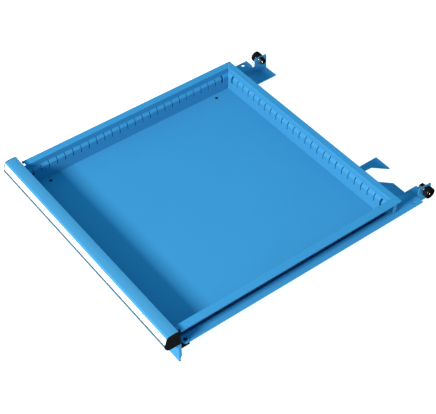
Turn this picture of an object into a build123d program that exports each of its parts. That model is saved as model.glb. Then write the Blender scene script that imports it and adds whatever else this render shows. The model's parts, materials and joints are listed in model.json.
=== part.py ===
"""Under desk drawer: slotted sheet steel tray on two side rails with rear rollers.

X runs across the drawer (left to right seen by the user), Y runs from front to back, Z is up.
The origin is on the centre line, on the inside face of the front wall, level with the underside
of the side rails.
"""
from build123d import *
import os

os.makedirs("parts", exist_ok=True)

# ---------------------------------------------------------------- driving dimensions (mm)
slot_pitch = 17.0
slot_count = 26
inner_size = slot_pitch * (slot_count + 1)
half_upper = inner_size / 2
shoulder_run = 4.0
shoulder_rise = 5.2
half_lower = half_upper - shoulder_run
sheet = 1.2
rail_sheet = 2.0
bend = 1.4

floor_top = rail_sheet + sheet
kink_z = 32.6
shoulder_z = kink_z + shoulder_rise
rim_z = 49.8
rim_width = 14.4
rim_lip = 4.0
rim_front = 8.3
seam = 0.1
thread_gap = 0.05

slot_width = 1.9
end_slot_width = 4.6
slot_drop = 10.9
slot_reach = 5.2
cut_over = 1.0

floor_hole_d = 6.2
floor_hole_x = 214.5
floor_hole_front = 43.0
floor_hole_rear = 419.0

front_half = 251.0
front_top = 56.8
front_bottom = -15.4
return_depth = 3.0
return_top = 28.8
return_bottom = -9.0
return_slope = 9.0
return_corner = (1.5, 2.0)
hem_depth = 3.4
hem_height = 3.3
hem_bend = 1.4

rail_edge = 251.0
web_outer = 233.5
flange_inner = 200.2
shelf_top = 22.5
rail_front = 3.4
shelf_rear = 521.0
ear_front = 527.0
rail_rear = 556.0
ear_top = 34.6
relief_bottom = 16.3
shelf_hole_x = 243.6
shelf_hole_front = 15.4
shelf_hole_rear = 506.5
shelf_hole_d = 7.2
boss_d = 14.4
boss_rise = 0.8
lug_y = 462.0
lug_width = 6.0
lug_x = 240.6
guide_inner = 236.2
rail_bend = 2.2
ear_corner = 2.5
ear_root = 8.0
boss_taper = 12
lug_gap = 2.0
block_height = 5.0
block_length = 16.0
block_corner = 1.2
block_chamfer = 0.6
block_stud_gap = 0.1
plug_width = 3.7
plug_height = 3.9
plug_nose = 1.7
plug_corner = 0.6
tongue_width = 2.2
tongue_height = 2.4
tongue_length = 9.0
plug_gap = 0.3

axle_y = 541.0
axle_z = 27.3
tyre_d = 21.0
tyre_bore = 13.0
tyre_width = 10.0
roller_inner = 238.0
race_outer_bore = 11.0
race_inner_d = 7.9
race_bore = 6.0
race_width = 6.0
ball_d = 1.5
ball_count = 14
fit_gap = 0.02
collar_d = 9.0
stud_head_d = 7.0
thread_d = 8.0
nut_flats = 13.0
nut_height = 6.5
washer_d = 16.0
washer_t = 1.6
tyre_edge = 0.9
shield_t = 0.4
shield_gap = 0.15
flange_width = 1.5
flange_t = 1.6
stud_cap = 2.4
stud_round = 1.2
thread_past_nut = 2.0
collar_top = 239.0
race_outer_face = 247.0
nut_round = 0.55
nut_taper = -2

handle_half = 249.8
cap_seat = 249.9
cap_face = 251.2
cap_grow = 0.3
cap_round = 0.5
cap_flap = 2.5
cap_flap_top = 57.0
peg_length = 9.0
peg_corner = 1.0
top_peg = (-12.5, 53.0, 10.0, 5.4)
face_peg = (-19.6, 48.0, 3.0, 8.0)
profile_t = 1.8
handle_rear = -2 * sheet
rib_y = -8.0
rib_low = 39.5
rib_high = 48.5
screw_xs = (-190.0, -65.0, 65.0, 190.0)
screw_z = 44.0
screw_d = 4.9
screw_reach = 4.8
screw_head_d = 9.2
screw_head_t = 2.2
screw_socket = 1.7
socket_depth = 1.4
hole_gap = 0.2
handle_top = 59.6
handle_foot = 29.6
foot_front = -15.5
foot_mid = (-22.0, 31.0)
nose_low = (-25.6, 35.0)
nose_mid = (-27.0, 38.6)
crown_mid = (-20.6, 59.0)
crown_rear = (-17.6, 59.8)
crown_peak = (-8.5, 60.4)
mouth_z = 20.0
mouth_front = -20.4
cavity_rear_top = 56.4
cavity_front_top = (-16.6, 57.4)
nose_inside = ((-24.9, 39.6), (-23.6, 35.6), (mouth_front, 32.6))
face_start = 1.5
face_end = 0.5
face_t = 2.6
label_top = (-22.5, 57.3)
label_low = (-27.3, 43.0)
bead_width = 1.8
label_inset = 0.8
label_depth = 1.0
insert_depths = (0.65, 0.98)
cover_depths = (0.1, 0.63)
bead_depths = (-0.5, 0.98)
label_play = 0.1
label_end_gap = 0.2

tray_screw_d = 4.0
tray_screw_head_d = 5.8
tray_socket = 1.4
tray_socket_depth = 0.9

cam_left = 100.7
cam_right = 199.9
cam_front = 410.0
cam_rear = 550.0
cam_shelf = 528.0
channel_left = 114.6
channel_end = 478.0
channel_low = (150.9, 508.5)
channel_high = (170.6, 528.0)
hook_tip = (139.4, 549.6)
hook_root = (115.6, 525.6)
slant_start = 4.0
cam_corner = 1.0


# ---------------------------------------------------------------- helpers
def save(part, label):
    part.label = label
    export_step(part, "parts/" + label + ".step")


def plane_y(y):
    """Sketch plane facing the front at depth y: local x is X, local y is Z."""
    return Plane.XZ.offset(-y)


def plane_x(x):
    """Sketch plane facing right at width x: local x is Y, local y is Z."""
    return Plane.YZ.offset(x)


# ---------------------------------------------------------------- tray floor
with BuildPart() as tray_floor:
    with BuildSketch(Plane.XY.offset(rail_sheet)):
        with Locations((0, (inner_size - shoulder_run) / 2)):
            Rectangle(2 * (half_lower + sheet), inner_size - shoulder_run + 2 * sheet)
    extrude(amount=sheet)
    with BuildSketch(Plane.XY.offset(rail_sheet)):
        with Locations(*[(side * floor_hole_x, y) for side in (-1, 1) for y in (floor_hole_front, floor_hole_rear)]):
            Circle(floor_hole_d / 2)
    extrude(amount=sheet, mode=Mode.SUBTRACT)
save(tray_floor.part, "tray_floor")

# ---------------------------------------------------------------- front wall of the tray
with BuildPart() as wall_front:
    with BuildSketch(plane_y(0)):
        with Locations((0, (floor_top + front_top) / 2)):
            Rectangle(2 * (half_upper - hole_gap), front_top - floor_top)
    extrude(amount=sheet)
    with BuildSketch(plane_y(cut_over)):
        with Locations(*[(x, screw_z) for x in screw_xs]):
            Circle(screw_d / 2 + hole_gap)
    extrude(amount=sheet + 2 * cut_over, mode=Mode.SUBTRACT)
save(wall_front.part, "wall_front")


# ---------------------------------------------------------------- slotted walls
def wall_outline(base):
    """Points of the inside surface of a slotted wall, base is the distance of its lower face."""
    return [
        (base, floor_top),
        (base, kink_z),
        (base + shoulder_run, shoulder_z),
        (base + shoulder_run, rim_z),
        (base + shoulder_run + rim_width, rim_z),
        (base + shoulder_run + rim_width, rim_z - rim_lip),
    ]


def slot_width_at(index):
    return end_slot_width if index in (1, slot_count) else slot_width


rear_lower = inner_size - shoulder_run
rim_outer = half_upper + rim_width
with BuildPart() as wall_right:
    with BuildSketch(plane_y(0)):
        with BuildLine():
            FilletPolyline(*wall_outline(half_lower), radius=bend)
            offset(amount=sheet, side=Side.RIGHT)
        make_face()
    extrude(amount=-(inner_size + rim_width + cut_over))
    with BuildSketch(Plane.XY.offset(kink_z - slot_drop)):
        for index in range(1, slot_count + 1):
            with Locations((half_lower + (slot_reach - cut_over) / 2, slot_pitch * index)):
                Rectangle(slot_reach + cut_over, slot_width_at(index))
    extrude(amount=slot_drop + shoulder_rise, mode=Mode.SUBTRACT)
    with BuildSketch(Plane.XY.offset(rim_z - rim_lip - cut_over)):
        with Locations((half_upper + sheet + rim_width / 2 + cut_over, rim_front / 2)):
            Rectangle(rim_width + 2 * cut_over, rim_front)
    extrude(amount=rim_lip + 2 * cut_over, mode=Mode.SUBTRACT)
    split(bisect_by=Plane(origin=(half_lower + seam, rear_lower - seam, 0), z_dir=(-1, 1, 0)), keep=Keep.BOTTOM)
save(wall_right.part, "wall_right")
with BuildPart() as wall_left:
    add(mirror(wall_right.part, about=Plane.YZ, mode=Mode.PRIVATE))
save(wall_left.part, "wall_left")

with BuildPart() as wall_rear:
    with BuildSketch(plane_x(-rim_outer - cut_over)):
        with BuildLine():
            FilletPolyline(*wall_outline(rear_lower), radius=bend)
            offset(amount=sheet, side=Side.RIGHT)
        make_face()
    extrude(amount=2 * (rim_outer + cut_over))
    with BuildSketch(Plane.XY.offset(kink_z - slot_drop)):
        for index in range(1, slot_count + 1):
            with Locations((slot_pitch * index - half_upper, rear_lower + (slot_reach - cut_over) / 2)):
                Rectangle(slot_width_at(index), slot_reach + cut_over)
    extrude(amount=slot_drop + shoulder_rise, mode=Mode.SUBTRACT)
    for side in (-1, 1):
        corner = Plane(origin=(side * (half_lower - seam), rear_lower + seam, 0), z_dir=(side, -1, 0))
        split(bisect_by=corner, keep=Keep.BOTTOM)
save(wall_rear.part, "wall_rear")

# ---------------------------------------------------------------- front panel
with BuildPart() as front_panel:
    with BuildSketch(plane_x(-front_half + sheet)):
        with BuildLine():
            FilletPolyline(
                (-2 * sheet, front_top),
                (-2 * sheet, front_bottom),
                (-2 * sheet + hem_depth, front_bottom),
                (-2 * sheet + hem_depth, front_bottom + hem_height),
                radius=hem_bend,
            )
            offset(amount=sheet, side=Side.LEFT)
        make_face()
    extrude(amount=2 * (front_half - sheet))
    for x in (-front_half, front_half - sheet):
        with BuildSketch(plane_x(x)):
            with BuildLine():
                Polyline(
                    (-2 * sheet, return_top),
                    (-2 * sheet, return_bottom - return_corner[1]),
                    (-2 * sheet + return_corner[0], return_bottom),
                    (return_depth, return_bottom + return_slope),
                    (return_depth, return_top),
                    close=True,
                )
            make_face()
        extrude(amount=sheet)
    with BuildSketch(plane_y(0)):
        with Locations(*[(x, screw_z) for x in screw_xs]):
            Circle(screw_d / 2 + hole_gap)
    extrude(amount=3 * sheet, mode=Mode.SUBTRACT)
save(front_panel.part, "front_panel")

# ---------------------------------------------------------------- side rails
web_inner = web_outer - rail_sheet
with BuildPart() as rail_right:
    with BuildSketch(plane_y(rail_front)):
        with BuildLine():
            FilletPolyline(
                (flange_inner, 0),
                (web_outer, 0),
                (web_outer, shelf_top - rail_sheet),
                (rail_edge, shelf_top - rail_sheet),
                radius=rail_bend,
            )
            offset(amount=rail_sheet, side=Side.LEFT)
        make_face()
    extrude(amount=-(shelf_rear - rail_front))
    with BuildSketch(plane_y(shelf_rear)):
        with BuildLine():
            FilletPolyline((flange_inner, 0), (web_outer, 0), (web_outer, relief_bottom), radius=rail_bend)
            offset(amount=rail_sheet, side=Side.LEFT)
        make_face()
    extrude(amount=-(rail_rear - shelf_rear))
    with BuildSketch(plane_x(web_inner)):
        with Locations(((ear_front + rail_rear) / 2, (relief_bottom + ear_top) / 2 - cut_over)):
            RectangleRounded(rail_rear - ear_front, ear_top - relief_bottom + 2 * cut_over, ear_corner)
        with Locations(((ear_front + rail_rear) / 2, relief_bottom + ear_root / 4)):
            Rectangle(rail_rear - ear_front, ear_root)
    extrude(amount=rail_sheet)
    # rounded front end of the shelf around its hole
    with BuildSketch(Plane.XY.offset(shelf_top - rail_sheet - cut_over)):
        with Locations((rail_edge, rail_front)):
            Rectangle(2 * (rail_edge - shelf_hole_x), 2 * (shelf_hole_front - rail_front))
        with Locations((shelf_hole_x, shelf_hole_front)):
            Circle(rail_edge - shelf_hole_x, mode=Mode.SUBTRACT)
    extrude(amount=rail_sheet + 2 * cut_over, mode=Mode.SUBTRACT)
    # collar pressed up round the front hole
    with BuildSketch(Plane.XY.offset(shelf_top - rail_sheet / 4)):
        with Locations((shelf_hole_x, shelf_hole_front)):
            Circle(boss_d / 2)
    extrude(amount=boss_rise + rail_sheet / 4, taper=boss_taper)
    # upright lug beside the rear corner of the tray
    with BuildSketch(Plane.XY.offset(shelf_top - rail_sheet / 4)):
        with Locations((lug_x, lug_y)):
            Rectangle(rail_sheet, lug_width)
    extrude(amount=rim_z - sheet - lug_gap - shelf_top + rail_sheet / 4)
    with BuildSketch(Plane.XY.offset(-cut_over)):
        with Locations((shelf_hole_x, shelf_hole_front), (shelf_hole_x, shelf_hole_rear)):
            Circle(shelf_hole_d / 2)
    extrude(amount=shelf_top + boss_rise + 2 * cut_over, mode=Mode.SUBTRACT)
    with BuildSketch(Plane.XY.offset(-cut_over)):
        with Locations((floor_hole_x, floor_hole_front), (floor_hole_x, floor_hole_rear)):
            Circle(tray_screw_d / 2 + thread_gap)
    extrude(amount=rail_sheet + 2 * cut_over, mode=Mode.SUBTRACT)
    with BuildSketch(plane_x(web_inner - cut_over)):
        with Locations((axle_y, axle_z)):
            Circle(thread_d / 2 + thread_gap)
    extrude(amount=rail_sheet + 2 * cut_over, mode=Mode.SUBTRACT)
save(rail_right.part, "rail_right")
with BuildPart() as rail_left:
    add(mirror(rail_right.part, about=Plane.YZ, mode=Mode.PRIVATE))
save(rail_left.part, "rail_left")

# ---------------------------------------------------------------- guide blocks under the rail fronts
with BuildPart() as guide_right:
    with BuildSketch(Plane.XY.offset(shelf_top - rail_sheet - block_height)):
        with Locations(((guide_inner + rail_edge) / 2, rail_front + block_length / 2)):
            RectangleRounded(rail_edge - guide_inner, block_length, block_corner)
    extrude(amount=block_height)
    chamfer(guide_right.faces().sort_by(Axis.Z)[0].edges(), block_chamfer)
    with BuildSketch(Plane.XY.offset(shelf_top - rail_sheet - block_stud_gap)):
        with Locations((shelf_hole_x, shelf_hole_front)):
            Circle(shelf_hole_d / 2 - block_stud_gap)
    extrude(amount=rail_sheet - block_stud_gap)
save(guide_right.part, "guide_block_right")
with BuildPart() as guide_left:
    add(mirror(guide_right.part, about=Plane.YZ, mode=Mode.PRIVATE))
save(guide_left.part, "guide_block_left")

# ---------------------------------------------------------------- plugs at the front corners of the rims
with BuildPart() as plug_right:
    with BuildSketch(plane_y(rim_front - thread_gap)):
        with Locations((rim_outer - plug_width / 2, rim_z - plug_height / 2)):
            RectangleRounded(plug_width, plug_height, plug_corner)
    extrude(amount=plug_nose)
    with BuildSketch(plane_y(rim_front - plug_nose / 2)):
        with Locations((rim_outer - sheet - plug_gap - tongue_width / 2, rim_z - sheet - plug_gap - tongue_height / 2)):
            Rectangle(tongue_width, tongue_height)
    extrude(amount=-tongue_length)
save(plug_right.part, "rim_plug_right")
with BuildPart() as plug_left:
    add(mirror(plug_right.part, about=Plane.YZ, mode=Mode.PRIVATE))
save(plug_left.part, "rim_plug_left")

# ---------------------------------------------------------------- screws holding the tray to the rails
with BuildPart() as tray_screws:
    for x in (-floor_hole_x, floor_hole_x):
        for y in (floor_hole_front, floor_hole_rear):
            with BuildSketch(Plane.XY.offset(rail_sheet)):
                with Locations((x, y)):
                    Circle(tray_screw_head_d / 2)
            extrude(amount=sheet)
            with BuildSketch(Plane.XY.offset(seam)):
                with Locations((x, y)):
                    Circle(tray_screw_d / 2)
            extrude(amount=rail_sheet)
            with BuildSketch(Plane.XY.offset(floor_top)):
                with Locations((x, y)):
                    RegularPolygon(tray_socket, 6)
            extrude(amount=-tray_socket_depth, mode=Mode.SUBTRACT)
save(tray_screws.part, "tray_screws")

# ---------------------------------------------------------------- cam plate with the hook at the rear
with BuildPart() as cam_plate:
    with BuildSketch(Plane.XY):
        with BuildLine():
            Polyline(
                (cam_left, cam_front),
                (cam_right, cam_front),
                (cam_right, cam_shelf),
                channel_high,
                channel_low,
                (channel_low[0], channel_end),
                (channel_left, channel_end),
                (channel_left, channel_low[1] + slant_start),
                hook_root,
                hook_tip,
                (cam_left, cam_rear),
                close=True,
            )
        make_face()
    extrude(amount=rail_sheet)
    fillet(cam_plate.edges().filter_by(Axis.Z), cam_corner)
save(cam_plate.part, "cam_plate")

# ---------------------------------------------------------------- rear rollers
with BuildPart() as tyre_right:
    with BuildSketch(plane_x(roller_inner)):
        with Locations((axle_y, axle_z)):
            Circle(tyre_d / 2)
            Circle(tyre_bore / 2 + fit_gap, mode=Mode.SUBTRACT)
    extrude(amount=tyre_width)
    fillet(tyre_right.edges().filter_by(GeomType.CIRCLE).sort_by(SortBy.RADIUS)[-2:], tyre_edge)

with BuildPart() as race_outer_right:
    with BuildSketch(plane_x(collar_top)):
        with Locations((axle_y, axle_z)):
            Circle(tyre_bore / 2)
            Circle(race_outer_bore / 2, mode=Mode.SUBTRACT)
    extrude(amount=race_outer_face - collar_top)
    for x in (collar_top, race_outer_face - shield_t):
        with BuildSketch(plane_x(x)):
            with Locations((axle_y, axle_z)):
                Circle((race_outer_bore + shield_gap) / 2)
                Circle(race_inner_d / 2 + shield_gap, mode=Mode.SUBTRACT)
        extrude(amount=shield_t)

with BuildPart() as race_inner_right:
    with BuildSketch(plane_x(collar_top)):
        with Locations((axle_y, axle_z)):
            Circle(race_inner_d / 2)
            Circle(race_bore / 2 + fit_gap, mode=Mode.SUBTRACT)
    extrude(amount=race_outer_face - collar_top)

ball_pitch = (race_outer_bore + race_inner_d) / 4
with BuildPart() as balls_right:
    with Locations(plane_x((collar_top + race_outer_face) / 2)):
        with Locations((axle_y, axle_z)):
            with PolarLocations(ball_pitch, ball_count):
                Sphere(ball_d / 2)

with BuildPart() as stud_right:
    with BuildSketch(plane_x(web_outer)):
        with Locations((axle_y, axle_z)):
            Circle((race_inner_d - hole_gap) / 2)
    extrude(amount=collar_top - web_outer)
    with BuildSketch(plane_x(web_outer)):
        with Locations((axle_y, axle_z)):
            Circle(collar_d / 2 + flange_width)
    extrude(amount=flange_t)
    with BuildSketch(plane_x(collar_top)):
        with Locations((axle_y, axle_z)):
            Circle(race_bore / 2)
    extrude(amount=race_outer_face - collar_top)
    with BuildSketch(plane_x(race_outer_face)):
        with Locations((axle_y, axle_z)):
            Circle(stud_head_d / 2)
    extrude(amount=stud_cap)
    fillet(stud_right.faces().sort_by(Axis.X)[-1].edges(), stud_round)
    with BuildSketch(plane_x(web_outer)):
        with Locations((axle_y, axle_z)):
            Circle(thread_d / 2)
    extrude(amount=-(rail_sheet + washer_t + nut_height + thread_past_nut))
    fillet(stud_right.faces().sort_by(Axis.X)[0].edges(), stud_round)

washer_face = web_inner - washer_t
with BuildPart() as washer_right:
    with BuildSketch(plane_x(washer_face)):
        with Locations((axle_y, axle_z)):
            Circle(washer_d / 2)
            Circle(thread_d / 2 + hole_gap, mode=Mode.SUBTRACT)
    extrude(amount=washer_t)

with BuildPart() as nut_right:
    with BuildSketch(plane_x(washer_face - nut_height)):
        with Locations((axle_y, axle_z)):
            RegularPolygon(nut_flats / 2, 6, major_radius=False)
            Circle(thread_d / 2 + thread_gap, mode=Mode.SUBTRACT)
    extrude(amount=nut_height)
    with BuildSketch(plane_x(washer_face - nut_height)):
        with Locations((axle_y, axle_z)):
            Circle(nut_flats / 2 + nut_round)
    extrude(amount=nut_height, taper=nut_taper, mode=Mode.INTERSECT)

for name, solid in (
    ("roller_tyre", tyre_right.part),
    ("roller_race_outer", race_outer_right.part),
    ("roller_race_inner", race_inner_right.part),
    ("roller_balls", balls_right.part),
    ("roller_stud", stud_right.part),
    ("roller_washer", washer_right.part),
    ("roller_nut", nut_right.part),
):
    save(solid, name + "_right")
    with BuildPart() as mirrored:
        add(mirror(solid, about=Plane.YZ, mode=Mode.PRIVATE))
    save(mirrored.part, name + "_left")

# ---------------------------------------------------------------- handle profile, label and end caps
slope = Vector(*label_low) - Vector(*label_top)
slope_length = slope.length
along = slope.normalized()
inward = Vector(-along.Y, along.X)


def face_point(distance, depth):
    """Point on the sloping label face: distance below its top edge, depth into the profile."""
    p = Vector(*label_top) + along * distance + inward * depth
    return (p.X, p.Y)


def strip_points(start, end, outer, inner):
    return [face_point(start, outer), face_point(end, outer), face_point(end, inner), face_point(start, inner)]


def outline_lines():
    """Closed outer outline of the handle section, drawn inside a line builder."""
    Polyline(
        (0, handle_top),
        (0, front_top + seam),
        (handle_rear, front_top + seam),
        (handle_rear, handle_foot),
        (foot_front, handle_foot),
    )
    ThreePointArc((foot_front, handle_foot), foot_mid, nose_low)
    ThreePointArc(nose_low, nose_mid, label_low)
    Line(label_low, label_top)
    ThreePointArc(label_top, crown_mid, crown_rear)
    ThreePointArc(crown_rear, crown_peak, (0, handle_top))


with BuildPart() as handle:
    with BuildSketch(plane_x(-handle_half)) as section:
        with BuildLine():
            outline_lines()
        make_face()
        with BuildLine():
            Polyline(
                (handle_rear - profile_t, mouth_z),
                (handle_rear - profile_t, rib_low),
                (rib_y, rib_low),
                (rib_y, rib_high),
                (handle_rear - profile_t, rib_high),
                (handle_rear - profile_t, cavity_rear_top),
                cavity_front_top,
                face_point(face_start, face_t),
                face_point(slope_length - face_end, face_t),
                *nose_inside,
                (mouth_front, mouth_z),
                close=True,
            )
        make_face(mode=Mode.SUBTRACT)
        with BuildLine():
            Polyline(*strip_points(label_inset, slope_length, -label_depth, label_depth), close=True)
        make_face(mode=Mode.SUBTRACT)
    extrude(amount=2 * handle_half)
    with BuildSketch(plane_y(handle_rear + cut_over)):
        with Locations(*[(x, screw_z) for x in screw_xs]):
            Circle(screw_d / 2 + thread_gap)
    extrude(amount=screw_reach + socket_depth, mode=Mode.SUBTRACT)
save(handle.part, "handle_profile")

label_half = handle_half - label_end_gap
label_start = label_inset + label_play
label_end = slope_length - bead_width
for name, start, end, depths in (
    ("label_insert", label_start, label_end - label_play, insert_depths),
    ("label_cover", label_start, label_end - label_play, cover_depths),
    ("label_bead", label_end, slope_length, bead_depths),
):
    with BuildPart() as strip:
        with BuildSketch(plane_x(-label_half)):
            with BuildLine():
                Polyline(*strip_points(start, end, *depths), close=True)
            make_face()
        extrude(amount=2 * label_half)
    save(strip.part, name)

flap_front = 2 * handle_rear
flap_low = handle_foot - cap_grow
with BuildPart() as cap_right:
    with BuildSketch(plane_x(cap_seat)):
        with BuildLine():
            outline_lines()
        make_face()
        offset(amount=cap_grow)
        with Locations(((flap_front + cap_flap) / 2, (flap_low + cap_flap_top) / 2)):
            Rectangle(cap_flap - flap_front, cap_flap_top - flap_low)
    extrude(amount=cap_face - cap_seat)
    fillet(cap_right.faces().sort_by(Axis.X)[-1].edges(), cap_round)
    for y, z, depth, height in (top_peg, face_peg):
        with BuildSketch(plane_x(cap_seat + cap_grow)):
            with Locations((y, z)):
                RectangleRounded(depth, height, peg_corner)
        extrude(amount=-peg_length)
save(cap_right.part, "end_cap_right")
with BuildPart() as cap_left:
    add(mirror(cap_right.part, about=Plane.YZ, mode=Mode.PRIVATE))
save(cap_left.part, "end_cap_left")

with BuildPart() as handle_screws:
    for x in screw_xs:
        with BuildSketch(plane_y(screw_head_t)):
            with Locations((x, screw_z)):
                Circle(screw_head_d / 2)
        extrude(amount=screw_head_t)
        with BuildSketch(plane_y(seam)):
            with Locations((x, screw_z)):
                Circle(screw_d / 2)
        extrude(amount=-handle_rear + screw_reach)
        with BuildSketch(plane_y(screw_head_t)):
            with Locations((x, screw_z)):
                RegularPolygon(screw_socket, 6)
        extrude(amount=socket_depth, mode=Mode.SUBTRACT)
save(handle_screws.part, "handle_screws")
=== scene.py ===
"""Looks of the under desk drawer: powder-coated sheet steel, black plastic trim, bright rollers."""

import json
import math

import bpy
from mathutils import Matrix, Vector


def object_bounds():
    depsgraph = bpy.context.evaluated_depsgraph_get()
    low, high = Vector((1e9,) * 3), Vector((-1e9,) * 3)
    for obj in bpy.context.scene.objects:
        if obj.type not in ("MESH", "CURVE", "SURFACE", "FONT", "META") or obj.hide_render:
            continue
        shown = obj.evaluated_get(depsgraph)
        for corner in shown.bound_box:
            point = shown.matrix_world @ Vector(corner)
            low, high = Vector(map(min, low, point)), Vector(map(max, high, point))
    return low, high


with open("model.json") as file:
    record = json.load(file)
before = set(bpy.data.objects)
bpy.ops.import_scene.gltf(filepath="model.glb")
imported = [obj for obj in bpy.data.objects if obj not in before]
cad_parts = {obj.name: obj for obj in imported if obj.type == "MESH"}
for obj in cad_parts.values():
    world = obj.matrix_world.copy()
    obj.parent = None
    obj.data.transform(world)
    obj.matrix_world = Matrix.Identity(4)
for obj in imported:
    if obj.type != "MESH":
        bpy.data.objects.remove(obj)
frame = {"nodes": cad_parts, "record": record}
cad_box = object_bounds()
nodes = frame["nodes"]
scene = bpy.context.scene

# lengths are in metres, texture scales in repeats per metre, colours in linear light
noise_low, noise_high = 0.3, 0.7
edge_samples = 4
dot_on_flats, dot_on_edges = 1.0, 0.86
coat_specular = 0.16


# ------------------------------------------------------------------ material helpers
class Graph:
    """A small wrapper that adds shader nodes and links them by name."""

    def __init__(self, name):
        self.material = bpy.data.materials.new(name)
        self.material.use_nodes = True
        self.tree = self.material.node_tree
        self.tree.nodes.clear()
        self.output = self.tree.nodes.new("ShaderNodeOutputMaterial")
        self.shader = self.tree.nodes.new("ShaderNodeBsdfPrincipled")
        self.tree.links.new(self.shader.outputs["BSDF"], self.output.inputs["Surface"])
        self.place = self.tree.nodes.new("ShaderNodeTexCoord").outputs["Object"]

    def set_or_link(self, socket, value):
        if isinstance(value, bpy.types.NodeSocket):
            self.tree.links.new(value, socket)
        else:
            socket.default_value = value

    def shader_input(self, name, value):
        self.set_or_link(self.shader.inputs[name], value)

    def stretched(self, factors):
        """Object coordinates scaled by factors along X, Y and Z."""
        node = self.tree.nodes.new("ShaderNodeMapping")
        node.inputs["Scale"].default_value = factors
        self.tree.links.new(self.place, node.inputs["Vector"])
        return node.outputs["Vector"]

    def noise(self, scale, detail=2.0, rough=0.5, vector=None):
        node = self.tree.nodes.new("ShaderNodeTexNoise")
        node.inputs["Scale"].default_value = scale
        node.inputs["Detail"].default_value = detail
        node.inputs["Roughness"].default_value = rough
        self.tree.links.new(vector or self.place, node.inputs["Vector"])
        return node.outputs["Fac"]

    def cells(self, scale):
        node = self.tree.nodes.new("ShaderNodeTexVoronoi")
        node.inputs["Scale"].default_value = scale
        self.tree.links.new(self.place, node.inputs["Vector"])
        return node.outputs["Distance"]

    def span(self, value, low, high, out_low=0.0, out_high=1.0):
        """value from low..high mapped to out_low..out_high and clamped."""
        node = self.tree.nodes.new("ShaderNodeMapRange")
        node.inputs["From Min"].default_value = low
        node.inputs["From Max"].default_value = high
        node.inputs["To Min"].default_value = out_low
        node.inputs["To Max"].default_value = out_high
        self.tree.links.new(value, node.inputs["Value"])
        return node.outputs["Result"]

    def math(self, operation, a, b=0.0):
        node = self.tree.nodes.new("ShaderNodeMath")
        node.operation = operation
        self.set_or_link(node.inputs[0], a)
        self.set_or_link(node.inputs[1], b)
        return node.outputs["Value"]

    def times(self, a, b):
        return self.math("MULTIPLY", a, b)

    def mix(self, factor, a, b):
        node = self.tree.nodes.new("ShaderNodeMix")
        node.data_type = "RGBA"
        self.set_or_link(node.inputs["Factor"], factor)
        self.set_or_link(node.inputs["A"], a)
        self.set_or_link(node.inputs["B"], b)
        return node.outputs["Result"]

    def edges(self, radius):
        """1 on convex and concave edges within radius, 0 on flats; also the rounded normal."""
        bevel = self.tree.nodes.new("ShaderNodeBevel")
        bevel.samples = edge_samples
        bevel.inputs["Radius"].default_value = radius
        geometry = self.tree.nodes.new("ShaderNodeNewGeometry")
        dot = self.tree.nodes.new("ShaderNodeVectorMath")
        dot.operation = "DOT_PRODUCT"
        self.tree.links.new(bevel.outputs["Normal"], dot.inputs[0])
        self.tree.links.new(geometry.outputs["Normal"], dot.inputs[1])
        return self.span(dot.outputs["Value"], dot_on_flats, dot_on_edges), bevel.outputs["Normal"]

    def bump(self, height, strength, distance, normal=None):
        node = self.tree.nodes.new("ShaderNodeBump")
        node.inputs["Strength"].default_value = strength
        node.inputs["Distance"].default_value = distance
        self.tree.links.new(height, node.inputs["Height"])
        if normal is not None:
            self.tree.links.new(normal, node.inputs["Normal"])
        self.tree.links.new(node.outputs["Normal"], self.shader.inputs["Normal"])


def rgb(red, green, blue):
    return (red, green, blue, 1.0)


def powder_coat(name, tone, light_tone, worn_tone, gloss_low, gloss_high, flow=(1, 1, 1)):
    """Satin powder coat: orange peel, faint clouding, thin coat along the edges."""
    cloud_scale, grain_scale, scuff_scale, gloss_scale = 5.0, 650.0, 90.0, 28.0
    grain_low, grain_high, scuff_low, scuff_high = 0.25, 0.75, 0.52, 0.66
    light_share, worn_share = 0.35, 0.5
    peel_scale, fine_peel_scale, fine_peel_share = 420.0, 1500.0, 0.3
    edge_radius = 0.0006

    g = Graph(name)
    place = g.stretched(flow)
    clouds = g.span(g.noise(cloud_scale, detail=3.0, rough=0.6, vector=place), noise_low, noise_high)
    grains = g.span(g.noise(grain_scale, detail=2.0, rough=0.6, vector=place), grain_low, grain_high)
    edge, rounded = g.edges(edge_radius)
    scuffs = g.span(g.noise(scuff_scale, detail=4.0, rough=0.7), scuff_low, scuff_high)
    body = g.mix(g.times(grains, light_share), tone, light_tone)
    body = g.mix(g.times(clouds, light_share), body, light_tone)
    worn = g.times(edge, g.times(scuffs, worn_share))
    g.shader_input("Base Color", g.mix(worn, body, worn_tone))
    gloss = g.noise(gloss_scale, detail=3.0, rough=0.6, vector=place)
    g.shader_input("Roughness", g.span(gloss, noise_low, noise_high, gloss_low, gloss_high))
    g.shader_input("Specular IOR Level", coat_specular)
    coarse_peel = g.noise(peel_scale, detail=2.0, rough=0.5, vector=place)
    fine_peel = g.times(g.noise(fine_peel_scale, detail=1.0), fine_peel_share)
    g.bump(g.math("ADD", coarse_peel, fine_peel), strength=0.35, distance=0.00008, normal=rounded)
    return g.material


def moulded(name, tone, light_tone, rough, specular, grain_scale, grain_depth):
    """Moulded plastic or rubber with a fine spark-eroded grain and dull scuffs."""
    scuff_scale, scuff_low, scuff_high = 140.0, 0.5, 0.7
    edge_share, scuff_share, scuff_roughening = 0.5, 0.3, 0.16
    edge_radius = 0.0004

    g = Graph(name)
    edge, rounded = g.edges(edge_radius)
    scuffs = g.span(g.noise(scuff_scale, detail=4.0, rough=0.7), scuff_low, scuff_high)
    wear = g.math("ADD", g.times(edge, edge_share), g.times(scuffs, scuff_share))
    g.shader_input("Base Color", g.mix(wear, tone, light_tone))
    g.shader_input("Roughness", g.span(scuffs, 0.0, 1.0, rough, rough + scuff_roughening))
    g.shader_input("Specular IOR Level", specular)
    g.bump(g.cells(grain_scale), strength=0.4, distance=grain_depth, normal=rounded)
    return g.material


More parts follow.
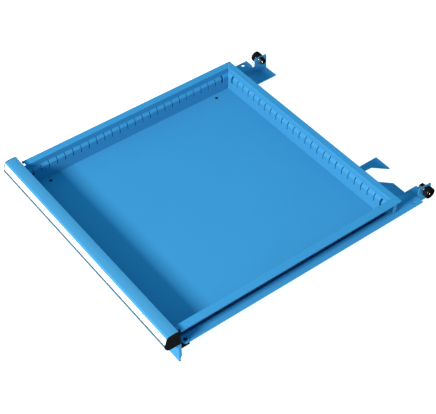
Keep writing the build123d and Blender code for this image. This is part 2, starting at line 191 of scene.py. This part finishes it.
def bright_metal(name, tone, dark_tone, rough_low, rough_high, turning):
    """Plated or ground steel: turning marks about the roller's axis and faint tarnish."""
    tarnish_scale, tarnish_low, tarnish_high = 260.0, 0.4, 0.72
    edge_radius = 0.0003

    g = Graph(name)
    rounded = g.edges(edge_radius)[1]
    marks = g.noise(1.0, detail=2.0, rough=0.6, vector=g.stretched(turning))
    tarnish = g.span(g.noise(tarnish_scale, detail=4.0, rough=0.7), tarnish_low, tarnish_high)
    g.shader_input("Base Color", g.mix(tarnish, tone, dark_tone))
    g.shader_input("Metallic", 1.0)
    g.shader_input("Roughness", g.span(marks, noise_low, noise_high, rough_low, rough_high))
    g.bump(marks, strength=0.25, distance=0.00003, normal=rounded)
    return g.material


def paper(name, tone, light_tone):
    """Blank label paper with fine fibres along the strip."""
    fibre_scale, along_strip = 900.0, (0.5, 1, 1)
    rough_low, rough_high = 0.7, 0.85

    g = Graph(name)
    fibres = g.noise(fibre_scale, detail=5.0, rough=0.75, vector=g.stretched(along_strip))
    g.shader_input("Base Color", g.mix(g.span(fibres, noise_low, noise_high), tone, light_tone))
    g.shader_input("Roughness", g.span(fibres, noise_low, noise_high, rough_low, rough_high))
    g.bump(fibres, strength=0.2, distance=0.00004)
    return g.material


def clear_cover(name, tone, light_tone):
    """Clear strip over the label, mostly seen through, with a soft gloss and fine scratches."""
    scratch_scale, along_strip = 700.0, (0.05, 1, 1)
    scratch_low, scratch_high = 0.35, 0.65
    rough_low, rough_high, opacity = 0.06, 0.14, 0.18

    g = Graph(name)
    scratches = g.noise(scratch_scale, detail=3.0, rough=0.7, vector=g.stretched(along_strip))
    g.shader_input("Base Color", g.mix(g.span(scratches, noise_low, noise_high), tone, light_tone))
    g.shader_input("Roughness", g.span(scratches, scratch_low, scratch_high, rough_low, rough_high))
    g.shader_input("Alpha", opacity)
    g.bump(scratches, strength=0.1, distance=0.00002)
    return g.material


# ------------------------------------------------------------------ materials
looks = {
    "blue_paint": powder_coat(
        "blue_powder_coat",
        tone=rgb(0.034, 0.212, 0.458), light_tone=rgb(0.040, 0.240, 0.496),
        worn_tone=rgb(0.08, 0.32, 0.56), gloss_low=0.50, gloss_high=0.56,
    ),
    "handle_paint": powder_coat(
        "handle_powder_coat",
        tone=rgb(0.045, 0.218, 0.435), light_tone=rgb(0.055, 0.240, 0.465),
        worn_tone=rgb(0.11, 0.34, 0.56), gloss_low=0.46, gloss_high=0.52, flow=(0.15, 1, 1),
    ),
    "label_paper": paper(
        "label_paper_strip", tone=rgb(0.86, 0.86, 0.84), light_tone=rgb(0.95, 0.95, 0.94),
    ),
    "clear_cover": clear_cover(
        "clear_label_cover", tone=rgb(0.92, 0.94, 0.95), light_tone=rgb(1, 1, 1),
    ),
    "grey_bead": moulded(
        "grey_bead", tone=rgb(0.045, 0.065, 0.075), light_tone=rgb(0.09, 0.11, 0.12),
        rough=0.4, specular=0.3, grain_scale=1500.0, grain_depth=0.00003,
    ),
    "black_plastic": moulded(
        "black_moulded_plastic", tone=rgb(0.006, 0.006, 0.007), light_tone=rgb(0.018, 0.018, 0.019),
        rough=0.5, specular=0.25, grain_scale=2200.0, grain_depth=0.00006,
    ),
    "roller_rubber": moulded(
        "black_roller_tyre", tone=rgb(0.005, 0.005, 0.006), light_tone=rgb(0.02, 0.02, 0.02),
        rough=0.14, specular=0.9, grain_scale=1500.0, grain_depth=0.00002,
    ),
    "bearing_steel": bright_metal(
        "ground_bearing_steel", tone=rgb(0.55, 0.55, 0.55), dark_tone=rgb(0.26, 0.26, 0.26),
        rough_low=0.2, rough_high=0.34, turning=(1200, 600, 600),
    ),
    "bright_steel": bright_metal(
        "bright_plated_steel", tone=rgb(0.78, 0.76, 0.72), dark_tone=rgb(0.42, 0.40, 0.37),
        rough_low=0.16, rough_high=0.30, turning=(3000, 300, 300),
    ),
    "black_screw": bright_metal(
        "blackened_screws", tone=rgb(0.03, 0.03, 0.032), dark_tone=rgb(0.012, 0.012, 0.013),
        rough_low=0.35, rough_high=0.5, turning=(900, 900, 900),
    ),
}
slots = {part["node"]: part["material_slot"] for part in frame["record"]["subparts"]}
for name, piece in nodes.items():
    piece.data.materials.clear()
    piece.data.materials.append(looks[slots[name]])

# ------------------------------------------------------------------ floor
low, high = cad_box
centre = (low + high) / 2
floor_drop, reach = 0.001, 40.0
floor_z = low.z - floor_drop
corners = [(-reach, -reach), (reach, -reach), (reach, reach), (-reach, reach)]
floor_mesh = bpy.data.meshes.new("studio_floor")
floor_mesh.from_pydata([(x, y, floor_z) for x, y in corners], [], [(0, 1, 2, 3)])
floor = bpy.data.objects.new("studio_floor", floor_mesh)
scene.collection.objects.link(floor)
# the black plastic would mirror the white floor and turn grey
floor.visible_glossy = False

g = Graph("pale_floor")
split = g.tree.nodes.new("ShaderNodeSeparateXYZ")
g.tree.links.new(g.place, split.inputs["Vector"])


def soft_band(axis, start, end, soft):
    """1 from start to end along the axis, fading to 0 over soft on either side."""
    rise = g.span(split.outputs[axis], start - soft, start)
    fall = g.span(split.outputs[axis], end, end + soft, 1.0, 0.0)
    return g.times(rise, fall)


# painted shadow straight under the tray: a dark blue patch on the floor, with the floor's glow taken
# away there
shade_soft, right_inset, front_inset, rear_inset = 0.012, 0.07, 0.09, 0.058
across = soft_band("X", low.x, high.x - right_inset, shade_soft)
along = soft_band("Y", low.y + front_inset, high.y - rear_inset, shade_soft)
under = g.times(across, along)
tint_scale, floor_glow = 3.0, 0.92
tint = g.span(g.noise(tint_scale, detail=2.0, rough=0.5), noise_low, noise_high)
pale = g.mix(tint, rgb(0.40, 0.40, 0.40), rgb(0.42, 0.42, 0.42))
# painted shadow: the floor turns dark blue inside the patch
g.shader_input("Base Color", g.mix(under, pale, rgb(0.01, 0.06, 0.12)))
g.shader_input("Roughness", 0.9)
g.shader_input("Specular IOR Level", 0.0)
g.shader_input("Emission Color", rgb(1, 1, 1))
# painted shadow: no glow inside the patch, full glow outside it
g.shader_input("Emission Strength", g.span(under, 0.0, 1.0, floor_glow, 0.0))
floor.data.materials.append(g.material)

# ------------------------------------------------------------------ light
world = bpy.data.worlds.new("studio_world")
scene.world = world
world.use_nodes = True
background = world.node_tree.nodes["Background"]
background.inputs["Strength"].default_value = 1.0
# the sky looks white, and its fill light is cool, so that shadows stay deep blue
sky_rays = world.node_tree.nodes.new("ShaderNodeLightPath")
sky_mix = world.node_tree.nodes.new("ShaderNodeMix")
sky_mix.data_type = "RGBA"
sky_mix.inputs["A"].default_value = rgb(0.20, 0.66, 0.79)
sky_mix.inputs["B"].default_value = rgb(1.0, 1.0, 1.0)
world.node_tree.links.new(sky_rays.outputs["Is Camera Ray"], sky_mix.inputs["Factor"])
world.node_tree.links.new(sky_mix.outputs["Result"], background.inputs["Color"])
world.cycles_visibility.glossy = False


def softbox(name, azimuth, elevation, distance, width, height, power, colour):
    """Area light facing the drawer. Azimuth 0 stands in front of it, 90 to its right."""
    a, e = math.radians(azimuth), math.radians(elevation)
    away = Vector((math.sin(a) * math.cos(e), -math.cos(a) * math.cos(e), math.sin(e)))
    light = bpy.data.lights.new(name, "AREA")
    light.shape = "RECTANGLE"
    light.size = width
    light.size_y = height
    light.energy = power
    light.color = colour
    lamp = bpy.data.objects.new(name, light)
    lamp.location = centre + away * distance
    lamp.rotation_euler = (-away).to_track_quat("-Z", "Y").to_euler()
    scene.collection.objects.link(lamp)


softbox(
    "key_softbox", azimuth=12, elevation=32.0, distance=4.0, width=0.9, height=0.72,
    power=290, colour=(1.0, 0.86, 0.71),
)

# ------------------------------------------------------------------ camera
camera_data = bpy.data.cameras.new("camera")
camera_data.sensor_width = 36.0
camera_data.lens = 95.47
camera_data.clip_start = 0.05
camera_data.clip_end = 50.0
camera = bpy.data.objects.new("camera", camera_data)
scene.collection.objects.link(camera)
stand = Vector((1.19204, -0.59787, 1.45593))
right = Vector((0.59932, 0.80029, -0.01826))
up = Vector((-0.56150, 0.43654, 0.70295))
back = Vector((0.57054, -0.41104, 0.71100))
turn = Matrix((right, up, back)).transposed().to_4x4()
camera.matrix_world = Matrix.Translation(stand) @ turn
scene.camera = camera
scene.view_settings.view_transform = "Standard"
